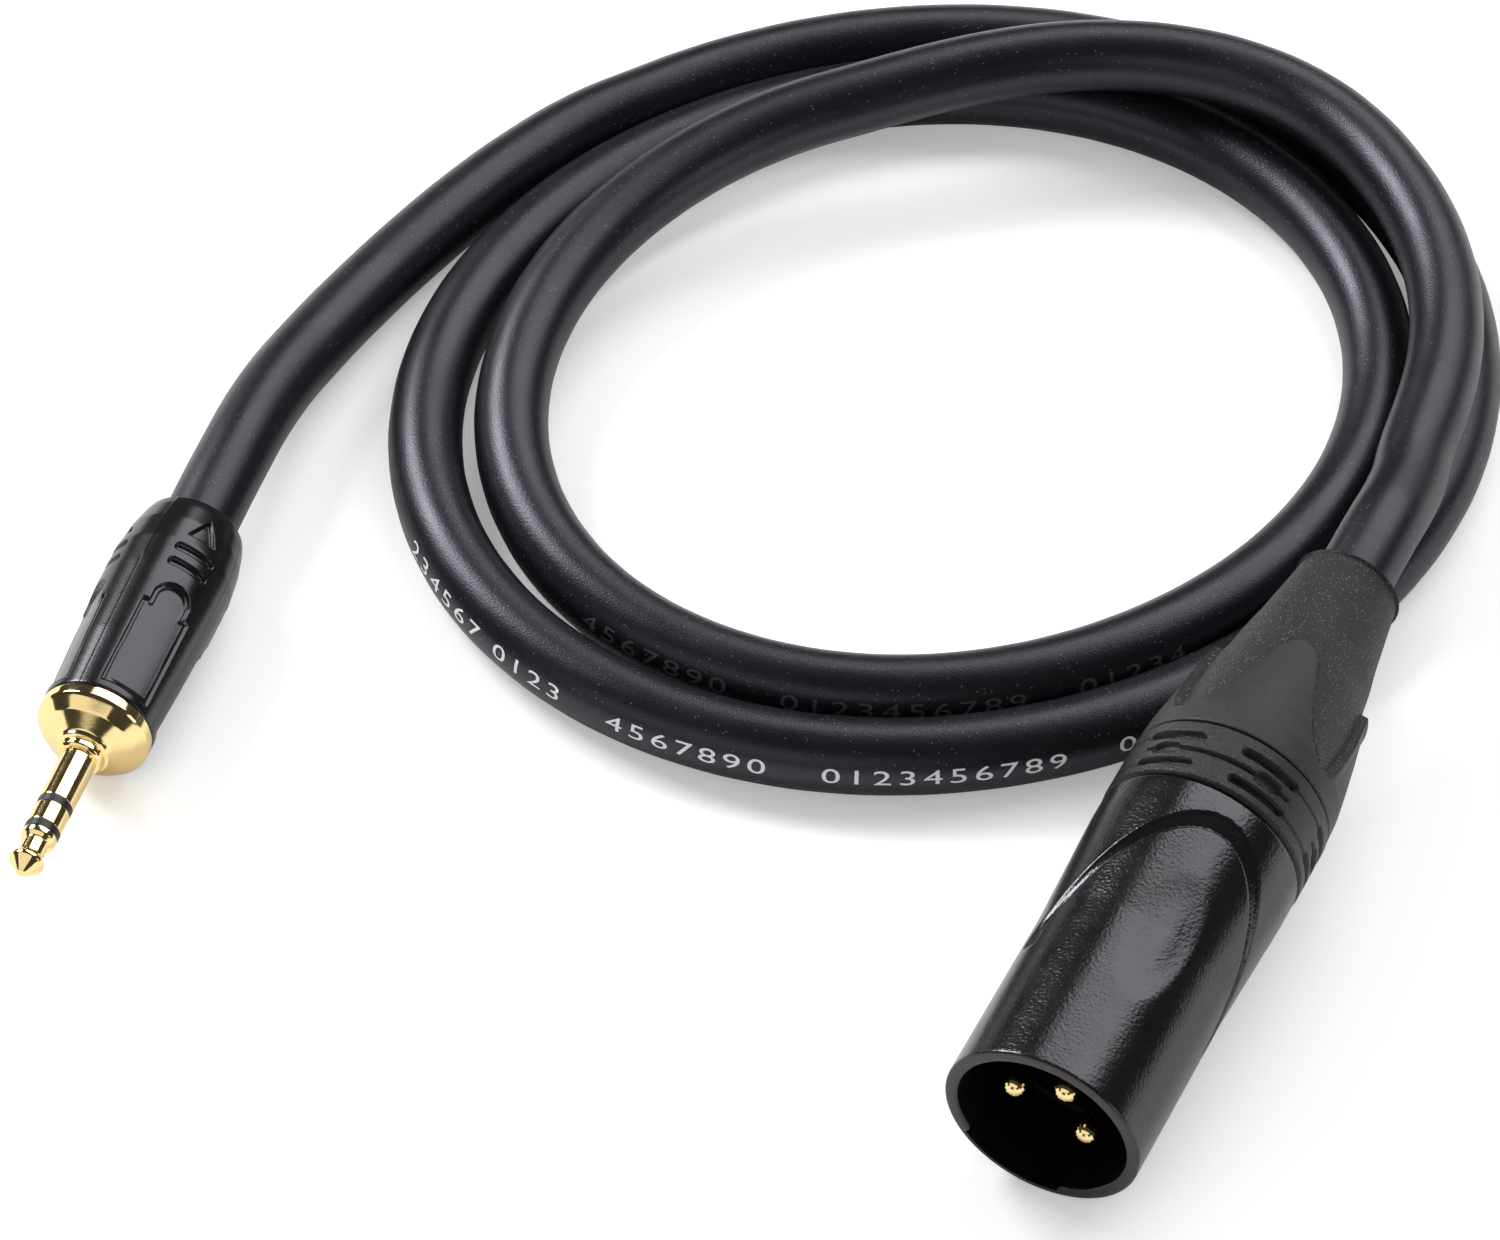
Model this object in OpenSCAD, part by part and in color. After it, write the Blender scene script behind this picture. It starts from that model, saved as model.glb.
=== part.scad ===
// Adaptor cable in a loose coil: a 3.5 mm three-pole plug at one end, a 3-pin male
// XLR connector at the other. Millimetres, +Z up, everything lies on z = 0.
// The origin is under the middle of the two connectors. +Y runs from the XLR's mouth to its boot.

/* [Cable] */
// Outer diameter of the jacket
cable_d = 7.5; // [5:0.1:8]
// Free gap left between neighbouring strands of the coil
strand_gap = 0.45; // [0.42:0.01:3]
// Free height left between the lower and the upper layer of the coil
layer_gap = 0.5; // [0.42:0.01:3]
// Radius of the coil's centre line where the plug's lead joins it
coil_r = 57; // [52:0.5:70]
// Radius of the coil's centre line in the upper layer
top_r = 51; // [46:0.5:60]
// How much the coil is longer than it is wide, as a share of its radius
coil_oval = 0.058; // [0:0.002:0.1]
// Direction of the coil's long axis, clockwise from -X
coil_oval_angle = 120; // [90:1:150]
// Diameter of one insulated core
core_d = 1.4; // [0.8:0.1:1.6]
// Diameter of the twisted screen where it leaves the jacket
drain_d = 0.9; // [0.5:0.1:1.2]

/* [XLR shell] */
// Outside diameter of the shell at the mouth
mouth_d = 19; // [18.6:0.1:20]
// Outside diameter of the shell at its rear edge
shell_rear_d = 20; // [19.6:0.1:22]
// Inside diameter of the mouth
mouth_bore_d = 16.4; // [15.8:0.1:16.6]
// Length of the shell
shell_len = 34.8; // [33:0.1:42]
// Depth from the mouth's edge to the contact carrier
carrier_depth = 14.8; // [13:0.1:16]
// Thickness of the contact carrier's disc
carrier_t = 6.4; // [5.5:0.1:7]
// Inside diameter of the shell behind the carrier's shoulder
rear_bore_d = 17.2; // [17:0.1:17.6]
// Tilt of the connector, mouth down, boot over the cable
xlr_tilt = 2.5; // [2:0.1:5]
// Length of the latch relief from the mouth's edge
latch_len = 9; // [6:0.5:12]
// Turn of the connector about its axis, clockwise seen at the mouth
xlr_roll = 22; // [-45:1:45]
// Width of the arched groove in the shell
arch_w = 2; // [0.8:0.1:2.5]
// Depth of the arched groove in the shell
arch_depth = 0.6; // [0.2:0.05:0.7]
// Depth of the oval thumb pad in the shell
pad_depth = 0.3; // [0.1:0.05:0.6]
// Width of the latch relief inside the rim
latch_w = 9.5; // [6:0.5:10]

/* [XLR contacts] */
// Diameter of a contact pin
pin_d = 2.38; // [2.2:0.01:2.5]
// Diameter of the circle the contacts stand on
pin_circle_d = 7.62; // [7.2:0.01:8]
// Distance from the mouth's edge to the pin tips
pin_recess = 1.2; // [0.8:0.1:4]
// Length of a solder cup
cup_len = 4; // [3.6:0.1:4.4]

/* [XLR nut and boot] */
// Diameter of the grip ring on the nut
grip_d = 20.2; // [19.6:0.1:22]
// Length of the grip ring
grip_len = 7; // [6:0.1:9]
// Depth of the finger slots in the grip ring
slot_depth = 0.6; // [0.3:0.05:0.9]
// Number of grip zones round the grip ring
grip_zones = 3; // [2:1:4]
// Turn of the nut and boot about the connector's axis, clockwise seen at the mouth
nut_roll = 0; // [-60:1:60]
// Outside diameter of the boot where the cable leaves it
boot_end_d = 11; // [10.6:0.1:12]
// Length of the boot behind the grip ring
boot_len = 28.45; // [24:0.05:32]
// Height of the hard collar and its tongues over the soft boot
tongue_rise = 0.35; // [0.1:0.05:0.6]
// Thread pitch of the nut
nut_pitch = 1; // [0.75:0.05:1.5]
// Length of the threaded sleeve on the nut
nut_thread_len = 6; // [5:0.1:7]
// Free gap between the cable and every part that slides along it
cable_gap = 0.3; // [0.25:0.01:0.6]
// Running gap of the turning and sliding parts
run_gap = 0.1; // [0.02:0.01:0.1]

/* [3.5 mm plug] */
// Diameter of the plug's contacts
plug_d = 3.5; // [3.4:0.01:3.6]
// Length of the plug from its tip to the collar
plug_len = 14.8; // [14:0.1:16]
// Diameter of the collar at the foot of the plug
collar_d = 4.6; // [4:0.1:5.4]
// Diameter of the gold-plated flange
flange_d = 11.3; // [10.8:0.1:12]
// Largest diameter of the barrel
barrel_d = 12.4; // [12:0.1:14]
// Diameter of the barrel at its cable end
barrel_end_d = 9.6; // [9.2:0.1:11]
// Length of the barrel
barrel_len = 26.5; // [25.5:0.1:34]
// Depth of the panels and notches cut in the barrel
panel_depth = 0.35; // [0.15:0.05:0.5]
// Number of panels round the barrel
panels = 4; // [3:1:4]
// Direction of the plug's axis, anticlockwise from +Y
plug_yaw = 10; // [0:0.5:20]
// Wall thickness of the insulating liner
liner_wall = 0.3; // [0.2:0.05:0.4]
// Thread pitch of the barrel
plug_pitch = 0.75; // [0.5:0.05:1]

/* [Hidden] */
$fn = 96;

seat = 0.02;                 // gap between pieces pressed or glued together
cut = 1;                     // how far a cutting shape runs past what it cuts
cable_r = cable_d / 2;
bore_r = cable_r + cable_gap;

// Places of the two connectors
xlr_x = 50.8;
xlr_y = -28.5;
xlr_z = mouth_d / 2 * cos(xlr_tilt);
plug_x = -47.7;
plug_y = -41.3;
plug_z = barrel_d / 2;

// Places along the XLR's axis, from the mouth's edge
mouth_r = mouth_d / 2;
carrier_end = carrier_depth + carrier_t;
cup_end = carrier_end + 1 + cup_len;
sleeve_start = shell_len - nut_thread_len + 0.2;
flange_end = sleeve_start - 0.4;
chuck_start = flange_end - 2.8;
skirt_end = chuck_start - 0.2;
xlr_jacket_end = flange_end + 2.6;
grip_start = shell_len + 0.2;
grip_end = grip_start + grip_len;
cone_start = shell_len - 1;
cone_end = grip_end - 1.2;
boot_start = grip_end + 0.05;
boot_end = boot_start + boot_len;
stem_end = boot_start + boot_len / 2;
xlr_straight_end = boot_end + 4 * nut_pitch + 5.5;

// Radii inside the XLR
carrier_r = rear_bore_d / 2 - run_gap;
sleeve_r = rear_bore_d / 2 - run_gap;
sleeve_wall = 1.05;
chuck_r = sleeve_r - sleeve_wall - run_gap;
cone_r = bore_r + 1.35;
stem_r = boot_end_d / 2 + 0.1;
stem_bore_r = bore_r + 0.25;
cup_room_r = pin_circle_d / 2 + pin_d / 2 + 0.6;

// Places along the plug's axis, from its tip
tip_end = 4.8;
band_w = 0.8;
ring_end = 8.0;
sleeve_begin = ring_end + band_w;
flange_start = plug_len + 1.1;
flange_face = flange_start + 2.3;
barrel_start = flange_face + 1.5;
stem_back = barrel_start + 5.2;
clamp_ring = stem_back + 8;
clamp_end = clamp_ring + 4.5;
plug_jacket_end = clamp_ring + 0.8;
liner_end = clamp_end + 3.5;
barrel_room_end = liner_end + 0.5;
barrel_end = barrel_start + barrel_len;
plug_straight_end = barrel_end + 5 * plug_pitch + 5.75;
pin_collar_r = pin_d / 2 + 0.4;

// Radii inside the plug: rod, ring tube and their insulation nest inside the sleeve
plug_r = plug_d / 2;
rod_r = 0.55;
inner_tube_r = 0.75;
ring_tube_r = 1.0;
outer_tube_r = 1.25;
body_bore_r = outer_tube_r + seat;
crimp_r = cable_r + 0.5;
liner_r = crimp_r + run_gap + liner_wall;
barrel_bore_r = liner_r + 0.05;
stem_thread_r = barrel_bore_r - 0.5;
pocket_r = stem_thread_r - 1;

// The coil is drawn from the angle where the plug's lead joins it, clockwise from -X
coil_x = -0.9;
coil_y = 57.25;
coil_start = 30;
coil_end = 885;
coil_step = 15;
climb_start = 640;
climb_turn = 180;
reverse_start = 768;
reverse_end = 840;
strand_pitch = (cable_d + strand_gap) / (1 - coil_oval);
tail = cable_d;              // the coil's ends run straight for one diameter
coil_sides = 6;
lead_sides = 12;

// Routes of the free stretches: x, y and how much of the fall is done at that point
PLUG_ROUTE = [
    [-59.2, 25, 0.3], [-59.6, 35, 0.75], [-59, 45, 1],
    [-57.8, 53, 1], [-56.2, 61, 1], [-53.9, 69.3, 1]
];
XLR_ROUTE = [[50.7, 55, 0.35], [50.3, 59, 0.8]];

// ---------- frames and small helpers ----------

function unit(v) = v / norm(v);
function ease(u) = (1 - cos(180 * min(1, max(0, u)))) / 2;
function blend(a, b, w) = a + (b - a) * w;
function arc(r, from, to, steps, centre = [0, 0]) =
    [for (i = [0:steps]) centre + r * [cos(blend(from, to, i / steps)), sin(blend(from, to, i / steps))]];

// A point on each connector's axis
function xlr_at(s) = [xlr_x, xlr_y + s * cos(xlr_tilt), xlr_z + s * sin(xlr_tilt)];
function plug_at(s) = [plug_x - s * sin(plug_yaw), plug_y + s * cos(plug_yaw), plug_z];

// Each connector is drawn along +Z from its front edge, its top towards -Y, and put in place here
module in_xlr() {
    translate(xlr_at(0))
        rotate([xlr_tilt, 0, 0])
            rotate([-90, 0, 0])
                rotate([0, 0, xlr_roll])
                    children();
}

// The nut and its boot keep their own turn
module in_nut() {
    in_xlr() rotate([0, 0, nut_roll - xlr_roll]) children();
}

module in_plug() {
    translate(plug_at(0))
        rotate([0, 0, plug_yaw])
            rotate([-90, 0, 0])
                children();
}

// A round solid from a list of [radius, distance along the axis]
module turned(profile) {
    rotate_extrude() polygon(profile);
}

module ring_of(r_out, r_in, from, to) {
    turned([[r_in, from], [r_out, from], [r_out, to], [r_in, to]]);
}

// A straight round rod between two points
module rod(p, q, d) {
    v = q - p;
    translate(p)
        rotate([0, acos(v.z / norm(v)), atan2(v.y, v.x)])
            cylinder(h = norm(v), d = d, $fn = 32);
}

// A flat outline, across by along, pushed through the top of a connector
module through_top(length) {
    rotate([90, 0, 0]) linear_extrude(length) children();
}

// ---------- tubes swept along points ----------

function tangent(p, k, first, last) =
    k == 0 ? first :
    k == len(p) - 1 ? last :
    unit(unit(p[k + 1] - p[k]) + unit(p[k] - p[k - 1]));

function ring_points(p, t, r, sides) =
    let (across = unit(cross(t, [0, 0, 1])), up = cross(across, t))
    [for (i = [0:sides - 1]) p + r * (cos(360 * i / sides) * across + sin(360 * i / sides) * up)];

module swept_tube(p, first, last, r, sides) {
    rings = len(p);
    points = [for (k = [0:rings - 1]) each ring_points(p[k], tangent(p, k, first, last), r, sides)];
    walls = [
        for (k = [0:rings - 2], i = [0:sides - 1])
            let (a = k * sides + i, b = k * sides + (i + 1) % sides)
            each [[a, b, b + sides], [a, b + sides, a + sides]]
    ];
    start_cap = [for (i = [1:sides - 2]) [0, i + 1, i]];
    base = (rings - 1) * sides;
    end_cap = [for (i = [1:sides - 2]) [base, base + i, base + i + 1]];
    polyhedron(points, concat(walls, start_cap, end_cap), convexity = 10);
}

// ---------- cable ----------

// Radius of the coil: it spirals in by one strand a turn, then runs out to the upper layer
function coil_radius(a) =
    blend(coil_r - strand_pitch * a / 360, top_r, ease((a - reverse_start) / (reverse_end - reverse_start)))
    * (1 + coil_oval * cos(2 * (a - coil_oval_angle)));
function coil_height(a) = cable_r + (cable_d + layer_gap) * ease((a - climb_start) / climb_turn);
function coil_point(a) = [
    coil_x - coil_radius(a) * cos(a),
    coil_y + coil_radius(a) * sin(a),
    coil_height(a)
];
coil_nudge = 0.05;
coil_first = unit(coil_point(coil_start + coil_nudge) - coil_point(coil_start));
coil_last = unit(coil_point(coil_end) - coil_point(coil_end - coil_nudge));
coil_entry = coil_point(coil_start) - tail * coil_first;
coil_exit = coil_point(coil_end) + tail * coil_last;

// Least gap of the coil to itself, between strands more than a quarter turn apart
gap_step = 5;
gap_points = [for (a = [coil_start:gap_step:coil_end]) coil_point(a)];
quarter = 90 / gap_step;
coil_gap = min([
    for (i = [0:len(gap_points) - 1 - quarter], j = [i + quarter:len(gap_points) - 1])
        norm(gap_points[i] - gap_points[j])
]) - cable_d;

module cable_coil() {
    echo("least gap of the coil to itself", coil_gap);
    route = concat(
        [coil_entry],
        [for (a = [coil_start:coil_step:coil_end]) coil_point(a)],
        [coil_exit]
    );
    color([0.09, 0.09, 0.1])
        swept_tube(route, coil_first, coil_last, cable_r, coil_sides);
}

module plug_lead() {
    start = plug_at(plug_jacket_end);
    free = plug_at(plug_straight_end);
    route = concat(
        [start, plug_at(barrel_end), free],
        [for (q = PLUG_ROUTE) [q.x, q.y, blend(free.z, cable_r, q.z)]],
        [coil_entry]
    );
    color([0.09, 0.09, 0.1])
        swept_tube(route, unit(free - start), coil_first, cable_r, lead_sides);
}

module xlr_lead() {
    start = xlr_at(xlr_jacket_end);
    free = xlr_at(xlr_straight_end);
    route = concat(
        [start, xlr_at(boot_end), free],
        [for (q = XLR_ROUTE) [q.x, q.y, blend(free.z, coil_exit.z, q.z)]],
        [coil_exit]
    );
    color([0.09, 0.09, 0.1])
        swept_tube(route, unit(free - start), -coil_last, cable_r, lead_sides);
}

// ---------- XLR connector ----------

module shell_outside(sink = 0) {
    rear_r = shell_rear_d / 2;
    turned([
        [0, 0], [mouth_r - sink - 0.3, 0], [mouth_r - sink, 0.3],
        [mouth_r - sink, shell_len * 0.55], [rear_r - sink, shell_len - 3],
        [rear_r - sink, shell_len - 0.4], [rear_r - sink - 0.4, shell_len], [0, shell_len]
    ]);
}

// What is left of a cutting prism once the shell below the given depth is kept
module shell_skin(depth) {
    difference() {
        translate([0, 0, -cut]) cylinder(h = shell_len + 2 * cut, r = shell_rear_d);
        shell_outside(depth);
    }
}

module arch_outline() {
    foot = carrier_depth - 0.6;
    apex = shell_len - 2.4 - foot;
    inner_r = mouth_r - arch_w / 4;
    intersection() {
        translate([0, foot])
            difference() {
                scale([1, apex / mouth_r]) circle(mouth_r);
                scale([1, (apex - arch_w) / inner_r]) circle(inner_r);
            }
        translate([-shell_rear_d, foot]) square([2 * shell_rear_d, shell_len]);
    }
}

module xlr_shell() {
    color([0.03, 0.03, 0.035]) in_xlr() difference() {
        shell_outside();
        translate([0, 0, -cut]) cylinder(h = carrier_depth + 2 * cut, d = mouth_bore_d);
        translate([0, 0, carrier_depth]) cylinder(h = shell_len, d = rear_bore_d);
        // latch relief, on the side away from contact 3
        intersection() {
            translate([0, 0, -cut]) cylinder(h = latch_len + cut, r = mouth_r - 0.6);
            translate([-latch_w / 2, mouth_bore_d / 4, -cut]) cube([latch_w, mouth_r, latch_len + cut]);
        }
        // arched groove and oval thumb pad on top
        intersection() {
            shell_skin(arch_depth);
            through_top(shell_rear_d) arch_outline();
        }
        intersection() {
            shell_skin(pad_depth);
            through_top(shell_rear_d) translate([0, shell_len * 0.515]) scale([0.43, 1]) circle(8);
        }
    }
}

module xlr_insert() {
    color([0.04, 0.04, 0.04]) in_xlr() difference() {
        turned([
            [0, carrier_depth], [carrier_r, carrier_depth], [carrier_r, skirt_end],
            [carrier_r - 0.9, skirt_end], [carrier_r - 0.9, carrier_end], [0, carrier_end]
        ]);
        for (a = [0, 90, 180])
            rotate([0, 0, -a])
                translate([pin_circle_d / 2, 0, carrier_depth - cut])
                    cylinder(h = carrier_t + 2 * cut, r = pin_collar_r + seat);
    }
}

// A contact: round-nosed pin, thicker where the carrier holds it, solder cup open at its back
module contact(angle) {
    r = pin_d / 2;
    collar_end = carrier_end + 1;
    step = carrier_depth - 0.2;
    in_xlr() rotate([0, 0, angle]) translate([pin_circle_d / 2, 0, 0]) difference() {
        turned(concat(
            [[0, pin_recess]],
            [for (p = arc(r, -80, 0, 6, [0, pin_recess + r])) p],
            [
                [r, step], [pin_collar_r, step], [pin_collar_r, collar_end],
                [r + 0.25, collar_end], [r + 0.25, cup_end], [r - 0.2, cup_end],
                [r - 0.2, collar_end + 1], [0, collar_end + 1]
            ]
        ));
        translate([-2 * r, -r, collar_end + 2.2]) cube([2 * r, 2 * r, cup_len]);
    }
}

module xlr_pin_1() { color([0.86, 0.66, 0.26]) contact(0); }
module xlr_pin_2() { color([0.86, 0.66, 0.26]) contact(180); }
module xlr_pin_3() { color([0.86, 0.66, 0.26]) contact(-90); }

module xlr_ground_ring() {
    r_out = carrier_r - 0.9 - seat;
    color([0.75, 0.75, 0.76]) in_xlr() difference() {
        ring_of(r_out, cup_room_r + 0.3, carrier_end + seat, carrier_end + 0.6);
        // the ring is split opposite the latch
        translate([-0.5, -r_out - cut, carrier_end - cut]) cube([1, 3 + cut, 3]);
    }
}

module xlr_solder() {
    color([0.78, 0.78, 0.8]) in_xlr()
        for (a = [0, 180, -90])
            rotate([0, 0, a])
                translate([pin_circle_d / 2, 0, carrier_end + 2 + seat])
                    cylinder(h = 1.1, r = pin_d / 2 - 0.2 - seat, $fn = 32);
}

// The cores fan out from the jacket's end to the cups
module core_to_cup(angle, d) {
    spread = 1.25;
    from = [spread * cos(angle), spread * sin(angle), xlr_jacket_end - 0.3 * d - seat];
    to = [pin_circle_d / 2 * cos(angle), pin_circle_d / 2 * sin(angle), cup_end + 0.6];
    in_xlr() rod(from, to, d);
}

module xlr_core_red() { color([0.7, 0.05, 0.05]) core_to_cup(180, core_d); }
module xlr_core_white() { color([0.9, 0.9, 0.88]) core_to_cup(-90, core_d); }
module xlr_drain() { color([0.72, 0.45, 0.3]) core_to_cup(0, drain_d); }

module xlr_chuck() {
    color([0.85, 0.85, 0.82]) in_xlr() difference() {
        turned([
            [carrier_r, chuck_start], [carrier_r, flange_end], [chuck_r, flange_end],
            [chuck_r, cone_start], [cone_r, cone_end - 0.2], [bore_r, cone_end - 0.2],
            [bore_r, flange_end + 0.2], [cup_room_r, flange_end + 0.2], [cup_room_r, chuck_start]
        ]);
        // three slots part the cone into jaws
        for (a = [90, 210, 330])
            rotate([0, 0, a])
                translate([bore_r / 2, -0.6, flange_end + 2.5]) cube([carrier_r, 1.2, shell_len]);
    }
}

module xlr_nut() {
    grip_r = grip_d / 2;
    groove = grip_start + grip_len * 0.47;
    slot_len = grip_r * 0.56;
    color([0.05, 0.05, 0.055]) in_nut() difference() {
        turned([
            [sleeve_r, sleeve_start], [sleeve_r, grip_start], [grip_r - 0.3, grip_start],
            [grip_r, grip_start + 0.3], [grip_r, groove], [grip_r - 0.45, groove],
            [grip_r - 0.45, groove + 0.45], [grip_r, groove + 0.45], [grip_r, grip_end],
            [stem_r, grip_end], [stem_r, stem_end], [stem_bore_r, stem_end],
            [stem_bore_r, cone_end], [cone_r + run_gap, cone_end],
            [chuck_r + run_gap, cone_start + run_gap], [chuck_r + run_gap, sleeve_start]
        ]);
        // in each grip zone, a pair of finger slots before and a pair behind the groove
        for (zone = [0:grip_zones - 1], side = [-1, 1], row = [0.18, 0.68])
            rotate([0, 0, 360 * zone / grip_zones + 27 * side])
                translate([-slot_len / 2, -grip_r - slot_depth, grip_start + grip_len * row])
                    cube([slot_len, 2 * slot_depth, 0.75]);
    }
}

// The boot and its hard collar as one body, hollow over the nut's stem
module boot_form(rise) {
    end_r = boot_end_d / 2;
    start_r = grip_d / 2 - 0.1 - tongue_rise;
    // share of the length, share of the way from the first radius to the last
    slope = [[0, 0], [0.1, 0.03], [0.21, 0.14], [0.33, 0.28], [0.45, 0.43], [0.58, 0.62], [0.73, 0.82]];
    turned(concat(
        [for (p = slope) [blend(start_r, end_r, p.y) + rise, boot_start + boot_len * p.x]],
        [
            [end_r + 0.1, boot_start + boot_len * 0.88], [end_r, boot_end - 0.4],
            [end_r - 0.4, boot_end], [bore_r, boot_end], [bore_r, stem_end + 0.05],
            [stem_r + 0.05, stem_end + 0.05], [stem_r + 0.05, boot_start]
        ]
    ));
}

// The part of the boot form that is hard: a full collar with three tongues
module hard_region(grow = 0) {
    foot = grip_d / 2 - 2.5;
    tip_r = foot * 0.36;
    front = boot_start + boot_len * 0.155;
    tip = boot_start + boot_len * 0.46;
    translate([0, 0, boot_start - cut]) cylinder(h = front + cut - boot_start + grow, r = grip_d);
    for (k = [0:2])
        rotate([0, 0, 120 * k]) through_top(grip_d) {
            polygon([
                [-foot - grow, front - cut], [foot + grow, front - cut],
                [tip_r + grow, tip], [-tip_r - grow, tip]
            ]);
            translate([0, tip]) circle(tip_r + grow);
        }
}

module xlr_collar() {
    color([0.06, 0.06, 0.065]) in_nut() intersection() {
        boot_form(tongue_rise);
        hard_region();
    }
}

module xlr_boot() {
    color([0.07, 0.07, 0.075]) in_nut() difference() {
        boot_form(0);
        hard_region(seat);
    }
}

// ---------- 3.5 mm plug ----------

module plug_tip() {
    color([0.86, 0.66, 0.26]) in_plug() turned([
        [0, 0], [0.45, 0], [plug_r - 0.35, 1.0], [plug_r, 1.5], [plug_r, 1.8],
        [plug_r - 0.55, 2.3], [plug_r - 0.55, 3.8], [plug_r, 4.2], [plug_r, tip_end],
        [rod_r, tip_end], [rod_r, stem_back - 1.2], [0, stem_back - 1.2]
    ]);
}

module plug_band_front() {
    color([0.03, 0.03, 0.03]) in_plug() turned([
        [rod_r + seat, tip_end + seat], [plug_r, tip_end + seat], [plug_r, tip_end + band_w],
        [inner_tube_r, tip_end + band_w], [inner_tube_r, stem_back - 2.2],
        [rod_r + seat, stem_back - 2.2]
    ]);
}

module plug_ring() {
    start = tip_end + band_w + seat;
    color([0.86, 0.66, 0.26]) in_plug() turned([
        [inner_tube_r + seat, start], [plug_r, start], [plug_r, ring_end],
        [ring_tube_r, ring_end], [ring_tube_r, stem_back - 2.4], [inner_tube_r + seat, stem_back - 2.4]
    ]);
}

module plug_band_rear() {
    color([0.03, 0.03, 0.03]) in_plug() turned([
        [ring_tube_r + seat, ring_end + seat], [plug_r, ring_end + seat], [plug_r, sleeve_begin],
        [outer_tube_r, sleeve_begin], [outer_tube_r, stem_back - 3.4],
        [ring_tube_r + seat, stem_back - 3.4]
    ]);
}

module plug_body() {
    start = sleeve_begin + seat;
    flange_r = flange_d / 2;
    collar_r = collar_d / 2;
    color([0.86, 0.66, 0.26]) in_plug() turned([
        [body_bore_r, start], [plug_r, start], [plug_r, plug_len], [collar_r - 0.25, plug_len],
        [collar_r, plug_len + 0.25], [collar_r, plug_len + 0.9], [collar_r - 0.2, flange_start],
        [blend(collar_r, flange_r, 0.42), flange_start + 0.9], [flange_r - 0.15, flange_face],
        [flange_r, flange_face + 0.2], [flange_r, barrel_start - 0.15], [stem_thread_r, barrel_start - 0.15],
        [stem_thread_r, stem_back], [pocket_r, stem_back], [pocket_r, stem_back - 4],
        [body_bore_r, stem_back - 4]
    ]);
}

// Insulating washer that keeps the two lugs apart inside the body's pocket
module plug_washer() {
    color([0.9, 0.88, 0.8]) in_plug()
        ring_of(pocket_r - 0.1, outer_tube_r + seat, stem_back - 4 + seat, stem_back - 3.5);
}

module plug_ring_lug() {
    color([0.8, 0.8, 0.78]) in_plug() {
        ring_of(outer_tube_r + 1, ring_tube_r + seat, stem_back - 3, stem_back - 2.6);
        translate([-0.8, ring_tube_r + 0.7, stem_back - 2.61]) cube([1.6, 0.4, 5.2]);
    }
}

module plug_tip_lug() {
    color([0.8, 0.8, 0.78]) in_plug() {
        ring_of(rod_r + 0.7, rod_r + seat, stem_back - 1.7, stem_back - 1.3);
        translate([-0.8, -rod_r - 0.6, stem_back - 1.31]) cube([1.6, 0.4, 3.9]);
    }
}

// Earth terminal: a half channel from the body back to the crimp round the jacket
module plug_clamp() {
    color([0.8, 0.68, 0.35]) in_plug() {
        difference() {
            ring_of(crimp_r, crimp_r - 0.4, stem_back, clamp_ring);
            translate([-crimp_r - cut, -crimp_r - cut, stem_back - cut])
                cube([2 * (crimp_r + cut), crimp_r + cut + 1, clamp_ring - stem_back + 2 * cut]);
        }
        difference() {
            ring_of(crimp_r, cable_r + 0.05, clamp_ring, clamp_end);
            // the crimp's seam
            translate([-0.3, -crimp_r - cut, clamp_ring - cut])
                cube([0.6, 2 + cut, clamp_end - clamp_ring + 2 * cut]);
        }
    }
}

module plug_liner() {
    color([0.88, 0.88, 0.85]) in_plug()
        ring_of(liner_r, liner_r - liner_wall, stem_back + 0.3, liner_end);
}

module barrel_outside(sink = 0) {
    r = barrel_d / 2 - sink;
    front_r = flange_d / 2 - sink;
    end_r = barrel_end_d / 2 - sink;
    turned([
        [0, barrel_start], [front_r - 0.2, barrel_start], [front_r, barrel_start + 0.2],
        [blend(front_r, r, 0.6), barrel_start + barrel_len * 0.28], [r, barrel_start + barrel_len * 0.62],
        [r, barrel_start + barrel_len * 0.76], [blend(end_r, r, 0.75), barrel_start + barrel_len * 0.87],
        [blend(end_r, r, 0.35), barrel_start + barrel_len * 0.96], [end_r, barrel_end], [0, barrel_end]
    ]);
}

module barrel_skin(depth) {
    difference() {
        translate([0, 0, barrel_start - cut]) cylinder(h = barrel_len + 2 * cut, r = barrel_d);
        barrel_outside(depth);
    }
}

// One panel: a long recess with a shouldered, arched head, two slots and a notch behind it
module panel_outline() {
    half = 2.4;
    head_r = 1.7;
    slot_half = 1.95;
    slot_w = 0.7;
    at = barrel_start + barrel_len * 0.045;
    head = barrel_start + barrel_len * 0.5;
    translate([-half, at]) square([2 * half, head - 1.5 - at]);
    translate([-head_r, at]) square([2 * head_r, head - at]);
    translate([0, head]) circle(head_r);
    for (slot = [head + 3.6, head + 5.6])
        translate([-slot_half, slot]) square([2 * slot_half, slot_w]);
    translate([0, head + 8.3]) polygon([[-1.5, 0], [1.5, 0], [0.4, 2.6], [-0.4, 2.6]]);
}

module plug_barrel() {
    color([0.04, 0.04, 0.045]) in_plug() difference() {
        barrel_outside();
        translate([0, 0, barrel_start - cut])
            cylinder(h = stem_back - barrel_start + cut + 0.2, r = stem_thread_r + run_gap);
        translate([0, 0, stem_back + 0.1])
            cylinder(h = barrel_room_end - stem_back, r = barrel_bore_r);
        translate([0, 0, barrel_room_end - cut]) cylinder(h = barrel_len, r = bore_r);
        intersection() {
            barrel_skin(panel_depth);
            for (k = [0:panels - 1])
                rotate([0, 0, 360 * (k + 0.38) / panels]) through_top(barrel_d) panel_outline();
        }
    }
}

// The two cores run in the channel from the jacket's end to the lugs
module plug_core(side) {
    from = [0, side * 1.05, plug_jacket_end - 0.1];
    to = [0, side * 1.45, stem_back + 3.2];
    in_plug() rod(from, to, core_d);
}

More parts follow.
